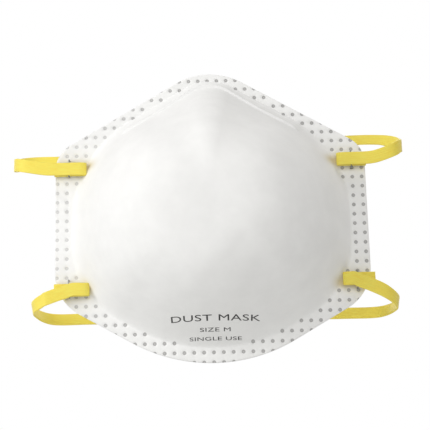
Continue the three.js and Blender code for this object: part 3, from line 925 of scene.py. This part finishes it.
def strap_body(path, profile, lean_from):
    """The profile carried along the path. Its width starts upright, as near as the path lets it, and leans
    outwards more and more towards the back run."""
    tangent = unit(np.gradient(path, axis=0))
    upright = unit(np.array([0, 0, 1.0]) - tangent * tangent[:, 2:3])
    inwards = np.cross(tangent, upright)
    lean = math.radians(LOOP_LEAN) * smooth_step(path[:, 1], lean_from, 16.0)[:, None]
    across = upright * np.cos(lean) - inwards * np.sin(lean)
    face = np.cross(tangent, across)
    sections = (
        path[:, None]
        + across[:, None] * profile[None, :, :1]
        + face[:, None] * profile[None, :, 1:2]
    )
    return swept_body(sections)


def elastic_material():
    """Knitted polyester over rubber threads, dyed yellow: a soft sheen, ribs along it and fine stitches
    across it. The knit's 0.45 mm rows come from the piece's own cloth map, in centimetres."""
    material, tree = new_material("yellow_knitted_elastic")
    cloth = add_node(tree, "ShaderNodeUVMap", uv_map="cloth").outputs[0]
    split = add_node(tree, "ShaderNodeSeparateXYZ", {0: cloth})
    rows = add_node(tree, "ShaderNodeMath", {0: split.outputs["X"]}, operation="MULTIPLY")
    rows.inputs[1].default_value = 2 * math.pi / KNIT_ROW
    rows = add_node(tree, "ShaderNodeMath", {0: rows.outputs[0]}, operation="SINE")
    threads = add_node(tree, "ShaderNodeMath", {0: split.outputs["Y"]}, operation="MULTIPLY")
    threads.inputs[1].default_value = 2 * math.pi / KNIT_ROW
    threads = add_node(tree, "ShaderNodeMath", {0: threads.outputs[0]}, operation="SINE")
    knit = add_node(
        tree, "ShaderNodeMath", {0: rows.outputs[0], 1: threads.outputs[0]}, operation="MULTIPLY"
    )
    long_way = add_node(tree, "ShaderNodeMapping", {"Vector": cloth}, Scale=(2.0, 40.0, 1.0))
    streak = add_node(tree, "ShaderNodeTexNoise", {"Vector": long_way.outputs[0]}, Scale=1.0, Detail=3.0)
    tone = add_node(tree, "ShaderNodeValToRGB", {"Fac": streak.outputs["Fac"]})
    tone.color_ramp.elements[0].color = linear("#FEE656")
    tone.color_ramp.elements[0].position = 0.3
    tone.color_ramp.elements[1].color = linear("#FFF56C")
    tone.color_ramp.elements[1].position = 0.65
    relief = add_node(
        tree, "ShaderNodeBump", {"Height": knit.outputs[0]}, Strength=0.25, Distance=0.05 * MM
    )
    shader = add_node(
        tree,
        "ShaderNodeBsdfPrincipled",
        {"Base Color": tone.outputs[0], "Normal": relief.outputs[0]},
        Roughness=0.62,
        Sheen_Weight=0.3,
        Sheen_Roughness=0.4,
    )
    through = add_node(tree, "ShaderNodeBsdfTranslucent", Color=linear("#FFE646"))
    thin = add_node(tree, "ShaderNodeMixShader", {1: shader.outputs[0], 2: through.outputs[0]}, Fac=0.16)
    finish_material(tree, thin)
    return material


yellow_elastic = elastic_material()
for level, facts in STRAPS.items():
    route = strap_side_route(facts, -1) + strap_side_route(facts, 1)[::-1]
    path = smooth_path(route, 0.5)
    profile = strap_profile()
    strap_points, strap_faces = strap_body(path, profile, facts["lean_from"])
    maps = (distance_along(path) / 10, distance_along(profile) / 10)
    cloth = np.stack(np.meshgrid(*maps, indexing="ij"), -1).reshape(-1, 2)
    strap = new_piece(
        f"{level}_strap", strap_points, strap_faces, yellow_elastic, body=None, uv=cloth
    )
    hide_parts(f"{level}_strap_loop", f"{level}_strap_end_left", f"{level}_strap_end_right")
    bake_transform(strap)

# ---- staples ----
# Galvanised wire staples shot through the folded tail and the rim. The crown stands across the strap with
# its shoulders showing above and below it, and the legs are clinched flat behind the rim.

WIRE = 0.55


def staple_route(level, side):
    """The wire's middle line: from one clinched tip round both legs and the crown to the other tip. Each
    bend is a quarter circle."""
    low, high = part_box(f"{level}_staple_{SIDES[side]}")
    facts = STRAPS[level]
    half = (high.z - low.z) / 2 / MM - WIRE / 2
    crown = low.y / MM + WIRE / 2
    back = RIM_FRONT + RIM_THICKNESS + WIRE * 0.45
    radius = 0.45
    corner = np.linspace(0, np.pi / 2, 7)
    inner = half - radius
    tip = np.array([[0.8, back + 0.1]])
    clinch = np.stack([inner + radius * np.sin(corner), back - radius + radius * np.cos(corner)], 1)
    shoulder = np.stack([inner + radius * np.cos(corner), crown + radius - radius * np.sin(corner)], 1)
    z, y = np.vstack([tip, clinch, shoulder]).T
    middle = facts["height"] + facts["laid"][0 if side < 0 else 1] * 0.5
    over = np.stack([np.full(len(z), side * STAPLE_X), y, middle + z], 1)
    under = np.stack([np.full(len(z), side * STAPLE_X), y, middle - z], 1)[::-1]
    return np.vstack([over, under])


def wire_body(route, diameter, sides):
    """A round wire: a circle carried along the route, at right angles to it, in the route's own plane."""
    tangent = unit(np.gradient(route, axis=0))
    flat = np.tile([1.0, 0, 0], (len(route), 1))
    other = np.cross(tangent, flat)
    turn = np.linspace(0, 2 * np.pi, sides, endpoint=False)
    circle = diameter / 2 * np.stack([np.cos(turn), np.sin(turn)], 1)
    return swept_body(
        route[:, None] + flat[:, None] * circle[None, :, :1] + other[:, None] * circle[None, :, 1:]
    )


def steel_material():
    """Zinc-plated steel wire: grey and half shiny, a little dull where it was bent."""
    material, tree = new_material("zinc_plated_steel_wire")
    place = add_node(tree, "ShaderNodeTexCoord").outputs["Object"]
    scuff = add_node(tree, "ShaderNodeTexNoise", {"Vector": place}, Scale=1 / (0.7 * MM), Detail=4.0)
    rough = add_node(tree, "ShaderNodeMapRange", {"Value": scuff.outputs["Fac"]}, To_Min=0.25, To_Max=0.55)
    shader = add_node(
        tree,
        "ShaderNodeBsdfPrincipled",
        {"Roughness": rough.outputs[0]},
        Base_Color=linear("#8D8F90"),
        Metallic=1.0,
    )
    finish_material(tree, shader)
    return material


staple_steel = steel_material()
for level in STRAPS:
    for side, side_name in SIDES.items():
        wire_points, wire_faces = wire_body(staple_route(level, side), WIRE, 12)
        staple = new_piece(
            f"{level}_{side_name}_staple", wire_points, wire_faces, staple_steel
        )
        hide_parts(f"{level}_staple_{side_name}")

# ---- ink print ----
# A small pad print on the chin of the cup, in plain capitals that only say what the object is. The ink is
# a thin film that follows the felt.

INK_LIFT = 0.06
INK_THICKNESS = 0.04
PRINT_LINES = [("DUST MASK", 6.5, -46.4), ("SIZE M", 4.2, -49.9), ("SINGLE USE", 4.0, -52.9)]
PRINT_SLOPE = 0.44  # the chin slopes, so a letter is this much of its height when seen from the front
PRINT_MIDDLE = 0.5


def text_outline(words, height):
    """The words as a flat mesh in mm, centred, with x along them and y up."""
    curve = bpy.data.curves.new("print_words", "FONT")
    curve.body = words
    curve.size = height
    curve.align_x = "CENTER"
    curve.space_character = 1.04
    curve.resolution_u = 6
    words_object = bpy.data.objects.new("print_words", curve)
    bpy.context.collection.objects.link(words_object)
    flat = bpy.data.meshes.new_from_object(words_object)
    bpy.data.objects.remove(words_object)
    bpy.data.curves.remove(curve)
    shaped = bmesh.new()
    shaped.from_mesh(flat)
    bmesh.ops.remove_doubles(shaped, verts=shaped.verts, dist=0.001)
    bmesh.ops.triangulate(shaped, faces=shaped.faces)
    long_edges = [e for e in shaped.edges if e.calc_length() > 0.6]
    bmesh.ops.subdivide_edges(shaped, edges=long_edges, cuts=2)
    bmesh.ops.triangulate(shaped, faces=shaped.faces)
    shaped.to_mesh(flat)
    shaped.free()
    points = np.zeros(len(flat.vertices) * 3)
    flat.vertices.foreach_get("co", points)
    corners = np.zeros(len(flat.loops), np.int32)
    flat.loops.foreach_get("vertex_index", corners)
    bpy.data.meshes.remove(flat)
    return points.reshape(-1, 3)[:, :2], corners.reshape(-1, 3)


def front_level(x, z):
    """The cover's y under a point seen from the front: found from the spoke through the point, whose foot
    is where the spoke's direction crosses the foot line, and from the dents there."""
    feet = closed_foot[:-1]
    angle = np.arctan2(feet[:, 1] - APEX_HEIGHT, feet[:, 0])
    order = np.argsort(angle)
    wanted = np.arctan2(z - APEX_HEIGHT, x)
    along = np.interp(wanted, angle[order], FOOT_DISTANCE[:-1][order])
    foot_x, foot_z = foot_at(along)
    share = np.hypot(x, z - APEX_HEIGHT) / np.hypot(foot_x, foot_z - APEX_HEIGHT)
    inset = (1 - share) * np.hypot(foot_x, foot_z - APEX_HEIGHT)
    steepness = -surface_normal(along, share)[:, 1]
    dents = handling_dents(x, z) * smooth_step(inset, *DENTS_FADE_IN)
    return bare_surface(along, share)[:, 1] + dents / steepness


def ink_material():
    """Flexible black pad-printing ink, matt, a little broken where it bridges the felt's fibres."""
    material, tree = new_material("black_pad_printing_ink")
    place = add_node(tree, "ShaderNodeTexCoord").outputs["Object"]
    broken = add_node(tree, "ShaderNodeTexNoise", {"Vector": place}, Scale=1 / (0.35 * MM), Detail=3.0)
    tone = add_node(tree, "ShaderNodeValToRGB", {"Fac": broken.outputs["Fac"]})
    tone.color_ramp.elements[0].color = linear("#2A2A2B")
    tone.color_ramp.elements[0].position = 0.5
    tone.color_ramp.elements[1].color = linear("#6A6968")
    tone.color_ramp.elements[1].position = 0.75
    shader = add_node(
        tree, "ShaderNodeBsdfPrincipled", {"Base Color": tone.outputs[0]}, Roughness=0.7
    )
    finish_material(tree, shader)
    return material


ink_points, ink_faces = [], []
for words, height, line_z in PRINT_LINES:
    flat, faces = text_outline(words, height)
    x, z = flat[:, 0] + PRINT_MIDDLE, flat[:, 1] * PRINT_SLOPE + line_z
    offset = sum(len(p) for p in ink_points)
    ink_points.append(np.stack([x, front_level(x, z) - INK_LIFT, z], 1))
    ink_faces += (faces + offset).tolist()
ink = new_piece("chin_print", np.vstack(ink_points), ink_faces, ink_material())
film = ink.modifiers.new("film", "SOLIDIFY")
film.thickness = INK_THICKNESS * MM
